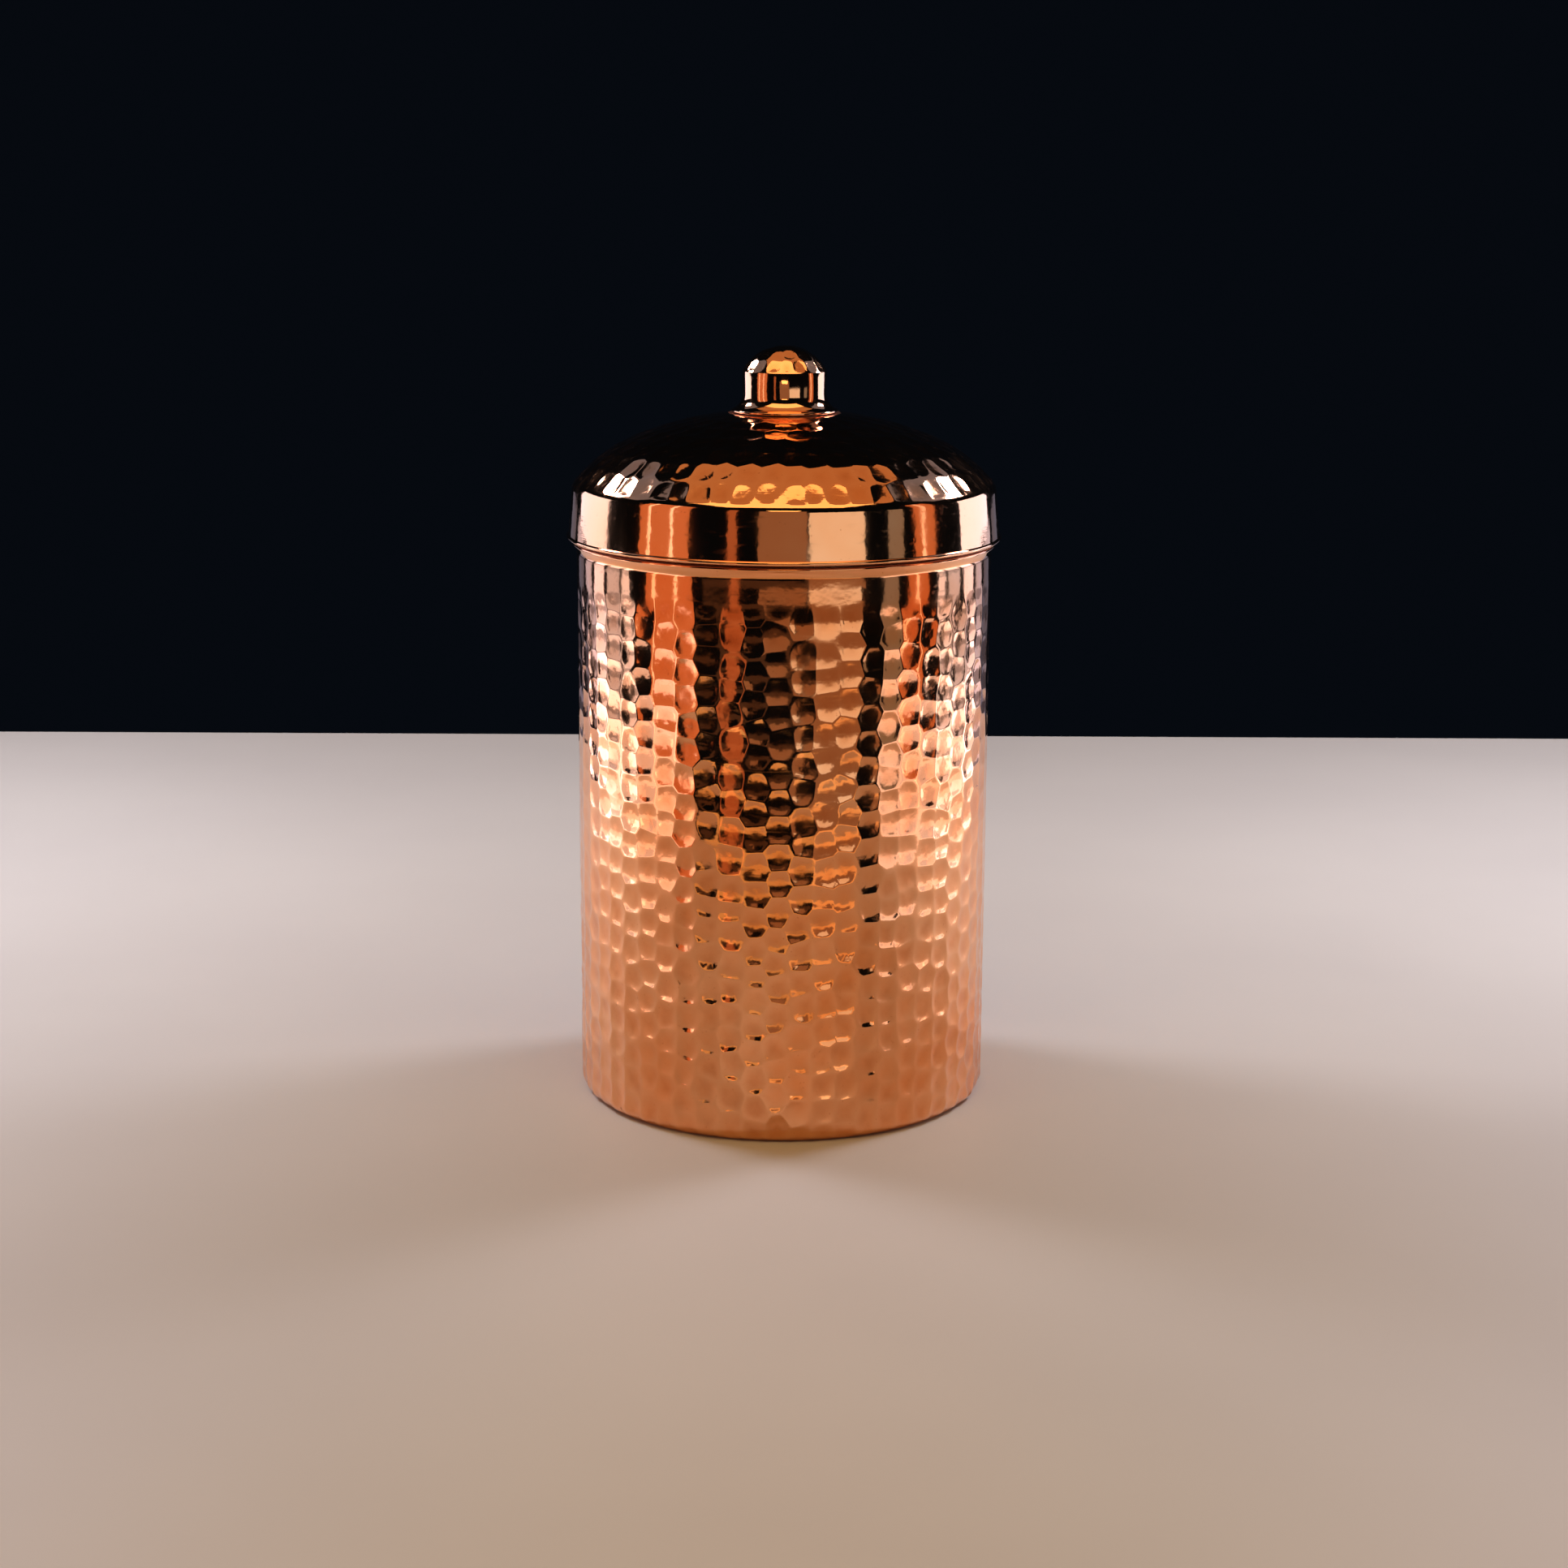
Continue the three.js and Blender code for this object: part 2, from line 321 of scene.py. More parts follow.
def smooth_maximum(rows):
    """The largest value of each row, going smoothly from one to the other where two are alike."""
    largest = rows.max(axis=1)
    rest = np.exp((rows - largest[:, None]) / RIDGE_SOFTNESS).sum(axis=1)
    return largest + RIDGE_SOFTNESS * np.log(rest)


def dented(points, blows, hammering):
    """How deep the sheet is dented at some points. The deepest blow counts at each."""
    centres = np.array([blow[:2] for blow in blows])
    extra = np.array([blow.extra for blow in blows])
    leans = np.array([blow[3:5] for blow in blows])
    away = points[:, None] - centres
    depths = extra - (hammering.curvature * away**2 / 2 + leans * away).sum(axis=2)
    share = np.maximum(-smooth_maximum(depths), 0) / hammering.ridge_height
    rise = hammering.ridge_height * share**STEEPNESS
    untouched = np.zeros(len(points))
    return smooth_maximum(np.column_stack([hammering.mark_depth - rise, untouched]))


def facet_faces(shape, vertices, count):
    """The faces of one facet. Its vertices are rings of that count, outermost first, and a middle."""
    last_ring = len(vertices) - 1 - count
    for corner in range(count):
        after = (corner + 1) % count
        for ring in range(0, last_ring, count):
            outer = vertices[ring + corner], vertices[ring + after]
            inner = vertices[ring + count + after], vertices[ring + count + corner]
            shape.faces.new(outer + inner)
        shape.faces.new((vertices[last_ring + corner], vertices[last_ring + after], vertices[-1]))


def hammered_patch(shape, blows, place, hammering):
    """Adds the facets of some blows to a bmesh and returns the loops of vertices round the patch.

    place turns points of the flattened sheet and their depths into points in space. The layer named
    hollow says how far into its facet a vertex lies: 0 on a ridge, and about 1 in the middle of a
    facet. The copper paints shade and tarnish by it.
    """
    hollow = shape.verts.layers.float.new("hollow")
    centres = np.array([blow[:2] for blow in blows])
    for centre, blow in zip(centres, blows):
        if not blow.made:
            continue
        order = np.argsort(np.sum(hammering.curvature * (centres - centre) ** 2, axis=1))
        nearest = [blows[index] for index in order[: NEIGHBOURS + 1]]
        border = divided(facet_border(blow, nearest[1:], hammering), hammering.step)
        if len(border) == 0:  # hammered over by its neighbours
            continue
        middle = border.mean(axis=0)
        rings = [middle + (border - middle) * share for share in FACET_RINGS]
        points = np.vstack(rings + [middle[None]])
        spots = place(points, dented(points, nearest, hammering))
        vertices = [shape.verts.new(spot) for spot in spots]
        # A deeper blow gets more painted shade and more tarnish in its hollow.
        shade_and_tarnish_scale = 1 + SHADE_AND_TARNISH_SPREAD * blow.extra / DEPTH_SPREAD
        shares = *np.repeat(FACET_RINGS, len(border)), 0.0
        for vertex, share in zip(vertices, shares):
            vertex[hollow] = (1 - share) * shade_and_tarnish_scale
        facet_faces(shape, vertices, len(border))
    bmesh.ops.remove_doubles(shape, verts=shape.verts, dist=WELD)
    return open_loops(shape)


def open_loops(shape):
    """The closed loops of vertices along the open edges of a bmesh, each in the order it runs."""
    ahead = {}
    for edge in shape.edges:
        if edge.is_boundary:
            loop = edge.link_loops[0]
            ahead[loop.vert] = loop.link_loop_next.vert
    loops = []
    while ahead:
        vertex, following = ahead.popitem()
        loop = [vertex]
        while following in ahead:
            loop.append(following)
            following = ahead.pop(following)
        loops.append(loop)
    return loops


def ring_blows(draw, inner, outer, spacing, width, wander, centre_mark=False):
    """Rings of blows on a disc between two distances from its middle, and their mirror images
    beyond the edges, which close the facets of the first and the last ring. wander is how far a blow
    strays at random, as a share of the spacing."""
    rings = round((outer - inner) / spacing)
    spacing = (outer - inner) / rings
    edges = (outer,) if centre_mark else (inner, outer)
    blows = [Blow(0.0, 0.0, 0.0, 0.0, 0.0, True)] if centre_mark else []
    for ring in range(rings):
        distance = inner + (ring + 0.5) * spacing
        marks = round(2 * math.pi * distance / width)
        start = draw.uniform(0, 2 * math.pi)
        for mark in range(marks):
            angle = start + 2 * math.pi * (mark + draw.gauss(0, wander)) / marks
            away = distance + draw.gauss(0, wander) * spacing
            towards = np.array([math.cos(angle), math.sin(angle)])
            blow = random_blow(draw, *(away * towards))
            blows.append(blow)
            for edge in edges:
                if abs(away - edge) < spacing:
                    spot = (2 * edge - away) * towards
                    lean = np.array(blow[3:5])
                    lean -= 2 * (lean @ towards) * towards
                    blows.append(Blow(*spot, blow.extra, *lean, False))
    return blows


def faded(distance, run):
    """0 at no distance, rising smoothly to 1 at the end of the run."""
    share = np.clip(distance / run, 0, 1)
    return share * share * (3 - 2 * share)


def disc_place(outside, edge, fade):
    """How a hammered disc with that edge lies over the end of a profile, which is on the axis. fade
    gives the share of the marks' depth at a distance from the middle."""

    def place(points, depth):
        away = np.minimum(np.linalg.norm(points, axis=1), edge)
        spots = outside.place(outside.length - away, depth * fade(away))
        return turned_place(np.arctan2(points[:, 1], points[:, 0]), spots)

    return place


# ---- turned skins ----------------------------------------------------


def turned_loop(shape, radius, height, turns):
    """A loop of vertices round the axis, or the one vertex on it."""
    if radius < 1e-9:
        return [shape.verts.new((0, 0, height))]
    angles = np.arange(turns) * 2 * math.pi / turns
    return [shape.verts.new((radius * math.cos(a), radius * math.sin(a), height)) for a in angles]


def run_from_zero(loop):
    """The loop run anticlockwise from its first vertex past angle zero, and its angles."""
    turns = np.array([math.atan2(v.co.y, v.co.x) % (2 * math.pi) for v in loop])
    steps = (np.diff(np.append(turns, turns[0])) + math.pi) % (2 * math.pi) - math.pi
    if steps.sum() < 0:
        loop, turns = loop[::-1], turns[::-1]
    first = int(np.argmin(turns))
    loop = loop[first:] + loop[:first]
    turns = np.unwrap(np.roll(turns, -first))
    return loop, np.append(turns, turns[0] + 2 * math.pi)


def zipped_faces(lower, upper):
    """Triangles between two loops whose vertices don't pair off. Whichever loop has the nearer next
    vertex, by its angle, takes the next step."""
    (lower, lower_turns), (upper, upper_turns) = run_from_zero(lower), run_from_zero(upper)
    faces = []
    low, high = 0, 0
    while low < len(lower) or high < len(upper):
        low_next = lower_turns[low + 1] if low < len(lower) else math.inf
        high_next = upper_turns[high + 1] if high < len(upper) else math.inf
        here, there = lower[low % len(lower)], upper[high % len(upper)]
        if low_next <= high_next:
            low += 1
            faces.append((here, lower[low % len(lower)], there))
        else:
            high += 1
            faces.append((here, upper[high % len(upper)], there))
    return faces


def join_loops(shape, lower, upper, skin=0):
    """Faces between two loops round the axis. The profile runs from lower to upper, with the
    outside on its right, and skin is the index of the faces' material."""
    faces = []
    if len(lower) == 1:
        for index, vertex in enumerate(upper):
            faces.append((lower[0], upper[(index + 1) % len(upper)], vertex))
    elif len(upper) == 1:
        for index, vertex in enumerate(lower):
            faces.append((vertex, lower[(index + 1) % len(lower)], upper[0]))
    elif len(lower) == len(upper) and lower[0].co.y == upper[0].co.y == 0:
        for index in range(len(lower)):
            after = (index + 1) % len(lower)
            faces.append((lower[index], lower[after], upper[after], upper[index]))
    else:
        faces = zipped_faces(lower, upper)
    for corners in faces:
        shape.faces.new(corners).material_index = skin


def turned_skin(shape, profile, turns, start=None, end=None, skin=0):
    """Turns a profile whose right-hand side faces outward. start and end are loops that it meets.
    Returns its last loop."""
    loops = [turned_loop(shape, radius, height, turns) for radius, height in profile]
    if start is not None:
        loops.insert(0, start)
    if end is not None:
        loops.append(end)
    for lower, upper in zip(loops, loops[1:]):
        join_loops(shape, lower, upper, skin)
    return loops[-1]


def new_object(name, data):
    made = bpy.data.objects.new(name, data)
    bpy.context.scene.collection.objects.link(made)
    return made


def finished(name, shape, materials, body, node, sharp=40):
    """Makes a piece of a bmesh, hangs it on the body that it rides on, and hides the part of the frame
    that it stands for.
    """
    mesh = bpy.data.meshes.new(name)
    shape.to_mesh(mesh)
    shape.free()
    mesh.polygons.foreach_set("use_smooth", [True] * len(mesh.polygons))
    mesh.set_sharp_from_angle(angle=math.radians(sharp))
    for material in materials:
        mesh.materials.append(material)
    piece = new_object(name, mesh)
    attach(piece, body)
    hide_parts(node)
    return piece


def turned_piece(name, outline, turns, materials, body, node):
    """A piece turned from an outline that closes on itself, or that starts and ends on the axis."""
    shape = bmesh.new()
    first = turned_loop(shape, *outline[0], turns)
    last = turned_skin(shape, outline[1:], turns, start=first)
    if len(first) > 1:
        join_loops(shape, last, first)
    return finished(name, shape, materials, body, node)


# ---- materials -------------------------------------------------------


class Finish:
    """A material, with short ways to add its nodes."""

    def __init__(self, name):
        self.material = bpy.data.materials.new(name)
        self.material.use_nodes = True
        self.tree = self.material.node_tree
        self.surface = self.tree.nodes["Principled BSDF"]
        self.place = self.tree.nodes.new("ShaderNodeTexCoord").outputs["Object"]

    def node(self, kind, output, inputs, **settings):
        """Adds a node and returns one of its outputs. An input is a number, a colour or an output."""
        made = self.tree.nodes.new(kind)
        for key, value in settings.items():
            setattr(made, key, value)
        for key, value in inputs.items():
            self.connect(value, made.inputs[key])
        return made.outputs[output]

    def connect(self, value, socket):
        if isinstance(value, bpy.types.NodeSocket):
            self.tree.links.new(value, socket)
        else:
            socket.default_value = value

    def noise(self, scale, detail=2.0, stretch=(1, 1, 1), turn=(0, 0, 0), distortion=0.0):
        """Noise between 0 and 1, with scale in waves to the metre."""
        where = self.node(
            "ShaderNodeMapping", "Vector",
            {"Vector": self.place, "Scale": stretch, "Rotation": turn},
        )
        return self.node(
            "ShaderNodeTexNoise", "Fac",
            {"Vector": where, "Scale": scale, "Detail": detail, "Distortion": distortion},
        )

    def between(self, value, low, high, to_low=0.0, to_high=1.0):
        """A value brought from one range to another, and held inside it."""
        return self.node(
            "ShaderNodeMapRange", "Result",
            {"Value": value, "From Min": low, "From Max": high, "To Min": to_low, "To Max": to_high},
        )

    def math(self, operation, first, second):
        return self.node("ShaderNodeMath", "Value", {0: first, 1: second}, operation=operation)

    def mix(self, share, first, second):
        """A colour between two others. The node's colour sockets are numbers 6 and 7, and out at 2."""
        made = self.tree.nodes.new("ShaderNodeMix")
        made.data_type = "RGBA"
        for index, value in ((0, share), (6, first), (7, second)):
            self.connect(value, made.inputs[index])
        return made.outputs[2]

    def bump(self, height, distance, under=None):
        """Small relief, that high in metres, on top of the relief under it."""
        inputs = {"Height": height, "Distance": distance, "Strength": 1.0}
        if under is not None:
            inputs["Normal"] = under
        return self.node("ShaderNodeBump", "Normal", inputs)

    def set(self, **sockets):
        for name, value in sockets.items():
            self.connect(value, self.surface.inputs[name.replace("_", " ")])


def copper(name, bright, deep, gloss, brushed=0.0, tarnish=0.35):
    """Polished or dull copper: two shades of metal, painted shade that darkens each hollow towards its
    middle, tarnish in the hollows, smears and hairlines.

    gloss is the least roughness, and brushed is how deep the fine rings of the lathe are.
    """
    finish = Finish(name)
    hollow = finish.node("ShaderNodeAttribute", "Fac", {}, attribute_name="hollow")
    clouds = finish.between(finish.noise(28, 3.0, distortion=0.6), 0.35, 0.68)
    # Painted shade: the hollow mask paints every facet darker towards its middle and lighter at its
    # ridges, so that the relief shows, under a random cloudy tone. The same mask also holds the brown
    # tarnish in the hollows.
    shade_and_tarnish_mask = finish.between(hollow, 0.05, 0.85)
    depth = finish.math("ADD", finish.math("MULTIPLY", shade_and_tarnish_mask, 0.4), clouds)
    shade = finish.mix(finish.between(depth, 0.1, 1.4), (*bright, 1), (*deep, 1))
    bloom = finish.between(finish.noise(170, 4.0), 0.42, 0.7)
    stain = finish.math("MULTIPLY", finish.math("MULTIPLY", shade_and_tarnish_mask, bloom), tarnish)
    browned = tuple(part * tone for part, tone in zip(deep, (0.62, 0.5, 0.42)))
    shade = finish.mix(stain, shade, (*browned, 1))
    specks = finish.between(finish.noise(1500, 1.0), 0.73, 0.78, 0.0, 0.45)
    shade = finish.mix(specks, shade, (*browned, 1))

    smears = finish.between(finish.noise(60, 3.0, (1, 1, 0.5), distortion=1.5), 0.45, 0.75)
    hairs = finish.between(finish.noise(900, 1.0, (0.05, 1, 1), (0.4, 0.9, 0.3)), 0.62, 0.72)
    more_hairs = finish.between(finish.noise(800, 1.0, (1, 0.04, 1), (0.9, 0.2, 1.2)), 0.63, 0.72)
    rings = finish.noise(1.0, 2.0, (25, 25, 3600))
    rough = gloss
    for extra, share in ((smears, 0.05), (hairs, 0.06), (stain, 0.15)):
        rough = finish.math("ADD", rough, finish.math("MULTIPLY", extra, share))

    waves = finish.bump(finish.noise(300, 2.0), 0.028 * MM)
    scratched = finish.bump(finish.math("ADD", hairs, more_hairs), 0.0012 * MM, under=waves)
    normal = finish.bump(rings, 0.004 * MM * brushed, under=scratched) if brushed else scratched
    finish.set(Base_Color=shade, Metallic=1.0, Roughness=rough, Normal=normal)
    return finish.material


def turned_metal(name, bright, deep, gloss):
    """Brass or steel that was turned in a lathe: fine rings, a few dull patches."""
    finish = Finish(name)
    clouds = finish.between(finish.noise(240, 3.0), 0.35, 0.7)
    rings = finish.noise(1.0, 2.0, (90, 90, 9000))
    rough = finish.math("ADD", gloss, finish.math("MULTIPLY", clouds, 0.12))
    finish.set(
        Base_Color=finish.mix(clouds, (*bright, 1), (*deep, 1)),
        Metallic=1.0,
        Roughness=rough,
        Normal=finish.bump(rings, 0.006 * MM),
    )
    return finish.material


def silicone(name, colour, shaded):
    """Soft milky rubber with a fine grain."""
    finish = Finish(name)
    clouds = finish.between(finish.noise(120, 3.0), 0.3, 0.7)
    grain = finish.noise(4200, 2.0)
    rough = finish.between(grain, 0.3, 0.7, 0.5, 0.62)
    finish.set(
        Base_Color=finish.mix(clouds, (*colour, 1), (*shaded, 1)),
        Roughness=rough,
        Subsurface_Weight=0.15,
        Subsurface_Radius=(2.0 * MM, 1.6 * MM, 1.2 * MM),
        Subsurface_Scale=0.5,
        Normal=finish.bump(grain, 0.01 * MM),
    )
    return finish.material


hammered_copper = copper("hammered_copper", (0.96, 0.46, 0.22), (0.90, 0.31, 0.10), 0.06)
lid_copper = copper("lid_copper", (0.96, 0.49, 0.25), (0.91, 0.37, 0.14), 0.055, brushed=1.0)
knob_copper = copper("knob_copper", (0.96, 0.49, 0.25), (0.91, 0.37, 0.14), 0.05, brushed=0.6)
inner_copper = copper("inner_copper", (0.86, 0.47, 0.33), (0.74, 0.36, 0.24), 0.3, brushed=2.5)
plain_copper = copper("plain_copper", (0.88, 0.48, 0.33), (0.78, 0.38, 0.25), 0.26, brushed=2.0)
brass = turned_metal("brass", (0.83, 0.62, 0.27), (0.66, 0.46, 0.18), 0.22)
steel = turned_metal("steel", (0.62, 0.62, 0.64), (0.48, 0.48, 0.50), 0.2)
rubber = silicone("silicone", (0.83, 0.80, 0.74), (0.75, 0.71, 0.63))


# ---- the vessel ------------------------------------------------------


def vessel_outside():
    """The outside of the vessel in two arcs, with the straight wall between them: the rounded
    bottom edge, and the cove under the flared lip."""
    edge_centre = (WALL_RADIUS - BASE_EDGE_RADIUS, BASE_EDGE_RADIUS)
    rise = math.sin(math.radians(MOUTH_FLARE_ANGLE)) * (MOUTH_COVE_RADIUS + SHEET)
    cove_centre = (WALL_RADIUS + MOUTH_COVE_RADIUS, MOUTH_HEIGHT - rise)
    bottom_edge = arc(edge_centre, BASE_EDGE_RADIUS, -90, 0, 12)
    cove = arc(cove_centre, MOUTH_COVE_RADIUS, 180, 180 - MOUTH_FLARE_ANGLE, 8)
    return bottom_edge, cove


def wall_blows(draw, low, high):
    """Columns of blows round the wall. Each column wanders, and is out of step with the last.

    Copies of the blows beyond the seam make the wall whole all round, and mirror images beyond the
    lower and the upper edge close the facets there.
    """
    around = 2 * math.pi * WALL_RADIUS
    pitch = around / WALL_MARKS_ROUND
    rows = round((high - low) / WALL_ROW_SPACING)
    spacing = (high - low) / rows
    made = []
    for column in range(WALL_MARKS_ROUND):
        phase = draw.uniform(-0.5, 0.5)
        drift = 0.0
        for row in range(rows):
            drift = WALL_DRIFT_KEPT * drift + draw.gauss(0, WALL_WANDER)
            x = (column + 0.5) * pitch + drift
            y = low + (row + 0.5 + phase) * spacing + draw.gauss(0, WALL_UNEVENNESS)
            y = min(max(y, low + spacing / 3), high - spacing / 3)
            made.append(random_blow(draw, x % around, y))
    margin = 4 * pitch
    wrapped = [
        blow._replace(x=blow.x + shift, made=False)
        for shift in (-around, around)
        for blow in made
        if -margin < blow.x + shift < around + margin
    ]
    mirrored = [
        blow._replace(y=2 * edge - blow.y, lean_y=-blow.lean_y, made=False)
        for edge in (low, high)
        for blow in made + wrapped
        if abs(blow.y - edge) < 1.5 * spacing
    ]
    return made + wrapped + mirrored


def vessel():
    """One sheet: a hammered wall, a rounded bottom edge, a pushed-up base and a plain flared mouth."""
    bottom_edge, cove = vessel_outside()
    outside = Meridian(np.vstack([bottom_edge, cove]))
    low = WALL_MARKS_FROM
    high = BASE_EDGE_RADIUS * (math.pi / 2 - 1) + HAMMERED_TOP

    def place(points, depth):
        distance = points[:, 1]
        fade = faded(distance - low, WALL_FOOT_FADE) * faded(high - distance, WALL_TOP_FADE)
        fade *= 1 + FOOT_DEEPER * faded(FOOT_DEEPER_BELOW - distance, FOOT_DEEPER_RUN)
        return turned_place(points[:, 0] / WALL_RADIUS, outside.place(distance, depth * fade))

    shape = bmesh.new()
    loops = hammered_patch(shape, wall_blows(random.Random(7), low, high), place, WALL_HAMMERING)
    patch_foot, patch_top = sorted(loops, key=lambda loop: loop[0].co.z)

    recess_foot = STANDING_RING_INNER - 2 * BASE_RECESS
    underside = softened(
        [[0, BASE_RECESS], [recess_foot, BASE_RECESS], [STANDING_RING_INNER, 0],
         [WALL_RADIUS - BASE_EDGE_RADIUS, 0]],
        1.5 * MM,
    )
    to_patch = outside.place(np.array([0.35, 0.7]) * low, [0, 0])  # two loops on the way
    turned_skin(shape, np.vstack([underside, to_patch]), VESSEL_TURNS, end=patch_foot)

    rim = half_round_edge(cove, SHEET)  # takes up the last two points of the cove and its inside
    outer_rim, inner_rim = rim[:5], rim[5:]
    plain_wall = [[WALL_RADIUS, HAMMERED_TOP + rise] for rise in (1 * MM, 3 * MM)]
    mouth = np.vstack([plain_wall, cove[:-2], outer_rim])
    rim_loop = turned_skin(shape, mouth, VESSEL_TURNS, start=patch_top)

    inside = offset(outside.points, SHEET)
    inner_edge, inner_cove = inside[: len(bottom_edge)], inside[len(bottom_edge) :]
    inner_wall = [[WALL_RADIUS - SHEET, MOUTH_HEIGHT * share] for share in (0.8, 0.6, 0.4, 0.2)]
    floor = softened(
        [[STANDING_RING_INNER + 2 * MM, SHEET], [STANDING_RING_INNER, SHEET],
         [recess_foot, BASE_RECESS + SHEET], [recess_foot / 2, BASE_RECESS + SHEET]],
        1.5 * MM,
    )
    floor_middle = [[0, BASE_RECESS + SHEET]]
    downward = np.vstack([
        inner_rim, inner_cove[:-2][::-1], inner_wall, inner_edge[::-1], floor, floor_middle,
    ])
    turned_skin(shape, downward, VESSEL_TURNS, start=rim_loop, skin=1)
    return finished(
        "vessel_hammered", shape, [hammered_copper, inner_copper],
        "vessel", "vessel_shell",
    )


# ---- the lid ---------------------------------------------------------


def lid_middle_lines():
    """The middle of the lid's sheet in two runs: from the edge of the lip up to the crease, and on
    over the dome to the axis."""
    half = SHEET / 2
    foot = lid_low.z
    seat = np.array([KNOB_SEAT_RADIUS, foot + KNOB_SEAT_HEIGHT - half])
    shoulder = np.array([SHOULDER_START, foot + SHOULDER_HEIGHT - half])
    crease = np.array([LID_BAND_TOP - half, foot + CREASE_HEIGHT])
    band_foot = np.array([LID_BAND_FOOT - half, foot + half + LID_LIP_TURN])
    crown = bulge(seat, shoulder, CROWN_RADIUS, 16)
    dome = bulge(shoulder, crease, SHOULDER_RADIUS, 24)
    rounding = rounded_corner(dome[-2], crease, band_foot, CREASE_RADIUS - half, 8)
    dome = dome[dome[:, 0] < rounding[0, 0] - 0.2 * MM]
    lip_turn = arc(band_foot + [LID_LIP_TURN, 0], LID_LIP_TURN, 180, 270, 6)
    band = np.vstack([rounding, lip_turn, [[LID_LIP_RADIUS, foot + half]]])
    hole = [SCREW_RADIUS + GAP, seat[1]]
    top = np.vstack([[[0, seat[1]], hole], crown, dome[1:]])
    return band[::-1], top[::-1]


def lid():
    """One sheet: a hammered dome with a flat seat for the knob, a crease, and a plain band whose
    lip turns out."""
    band, top = lid_middle_lines()
    middle = np.vstack([band, top])
    outer = offset(middle, -SHEET / 2)
    inner = offset(middle, SHEET / 2)
    outside = Meridian(outer)
    crease = len(band) - 1
    dome_edge = outside.length - outside.distances[crease]
    seat_edge = KNOB_SEAT_RADIUS + DOME_SEAT_RIM

    def fade(away):
        return faded(away - seat_edge, DOME_SEAT_FADE) * faded(dome_edge - away, EDGE_FADE)

    shape = bmesh.new()
    blows = ring_blows(random.Random(3), seat_edge, dome_edge, DOME_RING_SPACING,
                       DOME_MARK_WIDTH, wander=0.07)
    place = disc_place(outside, dome_edge, fade)
    loops = hammered_patch(shape, blows, place, DOME_HAMMERING)
    at_crease, at_seat = sorted(loops, key=lambda loop: loop[0].co.z)

    edge = half_round_edge(inner[::-1], SHEET)
    edge_radius = LID_LIP_RADIUS - SHEET / 2 - 0.01 * MM  # the edge takes up all beyond this
    first = turned_loop(shape, *edge[0], LID_TURNS)
    outer_band = outer[1:crease]
    outer_band = outer_band[outer_band[:, 0] < edge_radius]
    turned_skin(shape, np.vstack([edge[1:], outer_band]), LID_TURNS, start=first, end=at_crease)
    hole_radius, seat_height = outer[-2]
    seat = [[KNOB_SEAT_RADIUS, seat_height], [hole_radius, seat_height],
            [hole_radius, seat_height - SHEET]]
    inner_side = inner[inner[:, 0] < edge_radius][:-2]
    inward = np.vstack([seat, inner_side[::-1]])
    turned_skin(shape, inward, LID_TURNS, start=at_seat, end=first, skin=1)
    return finished(
        "lid_hammered", shape, [lid_copper, inner_copper], "lid", "lid_shell"
    )


def lid_collar():
    """A ring soldered inside the lid, which drops into the mouth and has a groove for the seal."""
    half = COLLAR_SHEET / 2
    wall = COLLAR_RADIUS - half
    lip = lid_low.z
    groove_middle = (seal_low.z + seal_high.z) / 2
    middle = np.vstack([
        [[wall, collar_low.z],
         [wall, groove_middle - SEAL_GROOVE_HALF - SEAL_GROOVE_DEPTH],
         [wall - SEAL_GROOVE_DEPTH, groove_middle - SEAL_GROOVE_HALF],
         [wall - SEAL_GROOVE_DEPTH, groove_middle + SEAL_GROOVE_HALF],
         [wall, groove_middle + SEAL_GROOVE_HALF + SEAL_GROOVE_DEPTH]],
        arc((wall + COLLAR_BEND, lip + half - COLLAR_BEND), COLLAR_BEND, 180, 90, 6),
        [[collar_high.x, lip + half]],
    ])
    outline = np.vstack([offset(middle, -half), offset(middle, half)[::-1]])
    return turned_piece("lid_collar_turned", softened(outline, 0.3 * MM, 3, closed=True),
                        VESSEL_TURNS, [plain_copper], "lid", "lid_collar")


def seal_ring():
    """A ring with two ribs that press on the inside of the mouth."""
    inner, outer = COLLAR_RADIUS - SEAL_GROOVE_DEPTH + GAP, seal_high.x
    middle = (seal_low.z + seal_high.z) / 2
    half = (seal_high.z - seal_low.z) / 2
    outline = [
        [inner, -half], [outer - SEAL_VALLEY, -half], [outer, -half / 2], [outer - SEAL_VALLEY, 0],
        [outer, half / 2], [outer - SEAL_VALLEY, half], [inner, half],
    ]
    outline = softened(np.array(outline) + [0, middle], 0.45 * MM, 4, closed=True)
    return turned_piece("lid_seal_ring_moulded", outline, VESSEL_TURNS, [rubber],
                        "lid", "lid_seal_ring")


# ---- the knob --------------------------------------------------------


